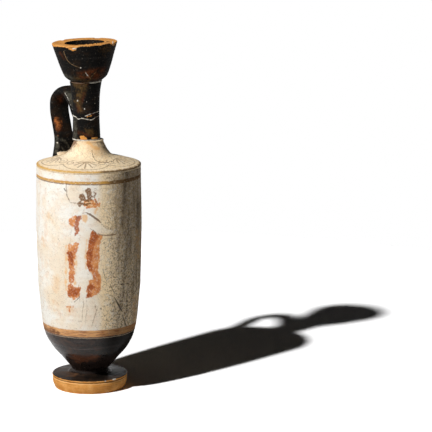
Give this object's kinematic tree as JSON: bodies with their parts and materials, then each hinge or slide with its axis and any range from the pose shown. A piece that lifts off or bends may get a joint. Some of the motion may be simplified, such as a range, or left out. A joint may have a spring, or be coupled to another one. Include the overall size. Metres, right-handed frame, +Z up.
{
  "type": "lekythos",
  "caption": "Tall cylindrical oil vessel on a disc foot, with a flared shoulder, narrow neck, calyx mouth and one strap handle.",
  "frame": {"origin": "centre of the body at the level of the surface that the foot rests on", "axes": "+Z up along the body's axis to the mouth, -Y toward the side that shows the figure, the handle behind the neck 127 degrees round from +X"},
  "size_m": [0.0904, 0.0904, 0.3012],
  "materials": {
    "black_glaze": "semi-gloss black slip, worn and slightly brown",
    "white_ground": "matt cream slip with worn line drawing and orange-red wash",
    "reserved_clay": "matt orange clay, black slip on the upper face",
    "mend_plaster": "matt pale filler"
  },
  "bodies": {
    "root": {"foot": "reserved_clay", "body": "white_ground", "shoulder": "white_ground", "collar_mend": "mend_plaster", "neck_lower": "black_glaze", "neck_mend": "mend_plaster", "neck_upper": "black_glaze", "mouth_mend": "mend_plaster", "mouth": "black_glaze", "handle": "black_glaze"}
  },
  "joints": []
}
